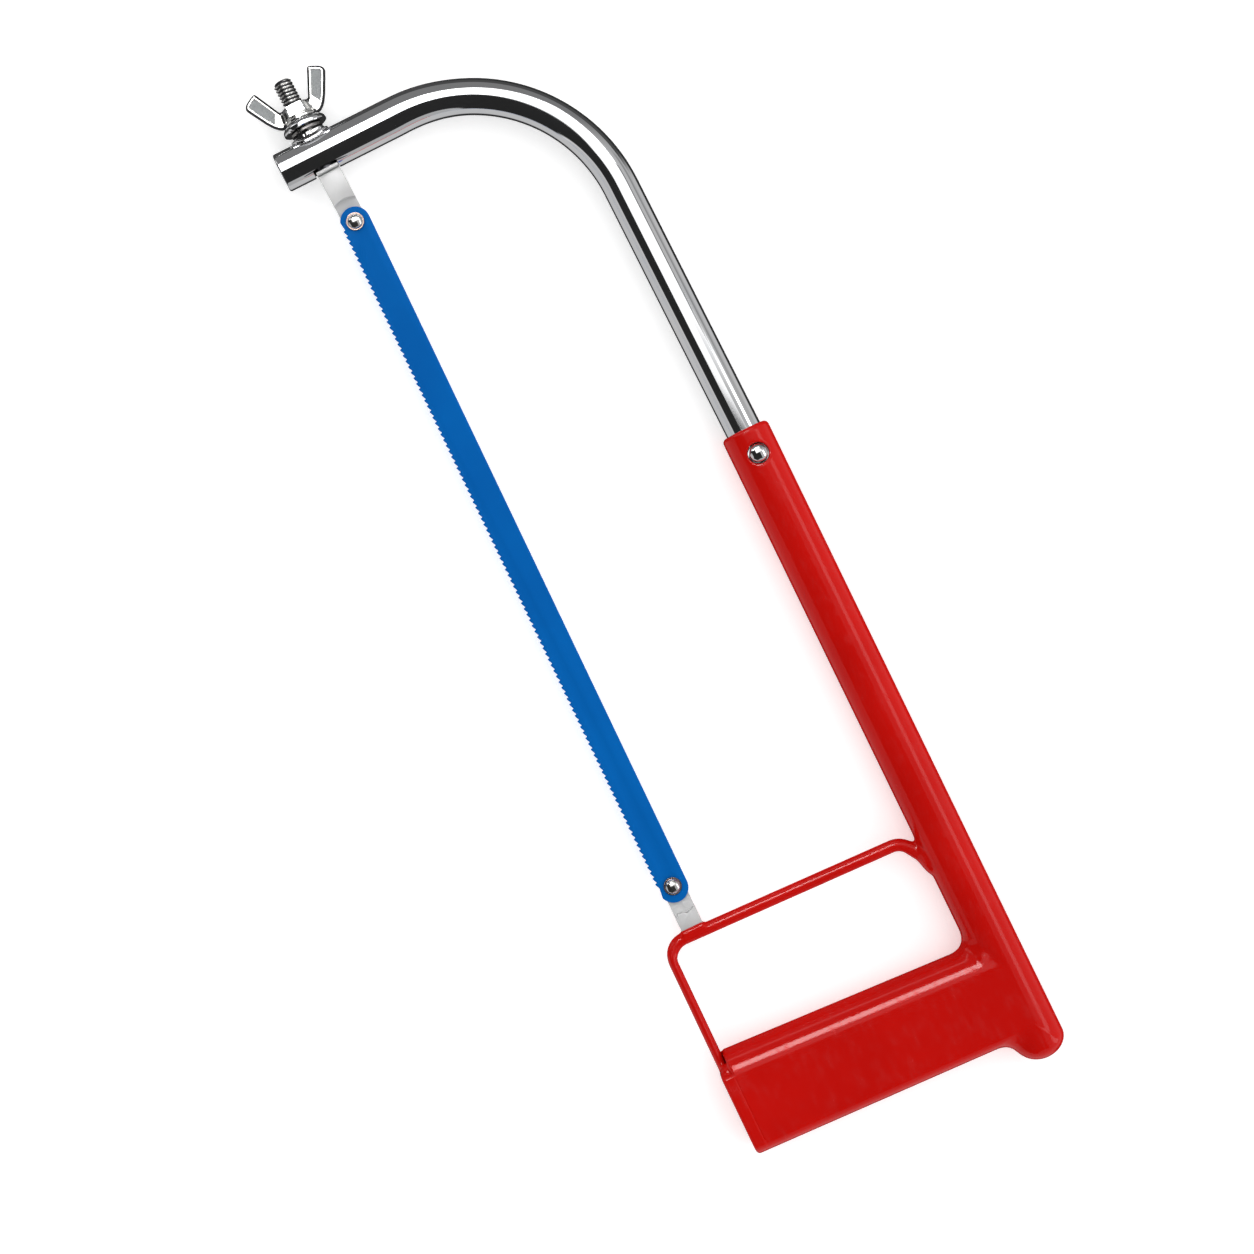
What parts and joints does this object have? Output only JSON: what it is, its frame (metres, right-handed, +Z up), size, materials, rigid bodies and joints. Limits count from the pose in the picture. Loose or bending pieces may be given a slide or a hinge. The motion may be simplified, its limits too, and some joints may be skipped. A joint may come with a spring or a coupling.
{
  "type": "hacksaw",
  "caption": "Tubular hacksaw: red back tube, pressed grip and rod guard, bright front tube, blue toothed blade held by headed pins and tightened by a wing nut.",
  "frame": {"origin": "middle of the underside of the saw lying flat on its side, at the bottom centre of its bounding box", "axes": "+X along the blade from the wing nut to the grip, +Y in the saw's plane from the teeth to the back tube, +Z up, out of the side that faces up"},
  "size_m": [0.494, 0.139, 0.0225],
  "materials": {
    "red_paint": "gloss enamel",
    "blue_paint": "satin enamel",
    "chrome": "polished",
    "nickel": "bright, slightly cast",
    "plated_steel": "matt zinc plate",
    "dark_steel": "oiled spring steel"
  },
  "bodies": {
    "frame": {"outer_tube": "red_paint", "tube_end_cap": "red_paint", "grip_shell_near": "red_paint", "grip_shell_far": "red_paint", "guard_rod": "red_paint", "guard_top_weld": "red_paint", "toe_weld_near": "red_paint", "toe_weld_far": "red_paint", "holder_weld": "red_paint", "rear_blade_holder": "plated_steel", "front_tube": "chrome", "saddle_washer": "chrome", "lock_washer": "dark_steel", "dome_washer": "chrome", "snap_spring": "dark_steel"},
    "button": {"snap_button": "chrome"},
    "tensioner": {"tension_bolt": "plated_steel"},
    "nut": {"wing_nut": "nickel"},
    "blade": {"blade": "blue_paint"},
    "front_pin": {"front_blade_pin": "nickel"},
    "rear_pin": {"rear_blade_pin": "nickel"}
  },
  "joints": [
    {"name": "wing_nut_spin", "type": "hinge", "parent": "frame", "child": "nut", "pos_m": [-0.23138, -0.05089, 0.01015], "axis": [-0.9991, -0.0419, 0], "range_deg": [0, 900]},
    {"name": "tension_slide", "type": "slide", "parent": "frame", "child": "tensioner", "axis": [0.9991, 0.0419, 0], "range_m": [0, 0.00375]},
    {"name": "blade_lift", "type": "slide", "parent": "frame", "child": "blade", "axis": [0, 0, 1], "range_m": [0, 0.025]},
    {"name": "front_pin_pull", "type": "slide", "parent": "blade", "child": "front_pin", "axis": [0, 0, 1], "range_m": [0, 0.012]},
    {"name": "rear_pin_pull", "type": "slide", "parent": "blade", "child": "rear_pin", "axis": [0, 0, 1], "range_m": [0, 0.012]},
    {"name": "button_press", "type": "slide", "parent": "frame", "child": "button", "axis": [0, 0, -1], "range_m": [0, 0.0026], "stiffness_N_per_m": 800, "springref_m": -0.004, "deforming": ["snap_spring"]}
  ],
  "couplings": [
    {"joint": "wing_nut_spin", "follows": "tension_slide", "rad_per_m": 4188.7}
  ]
}
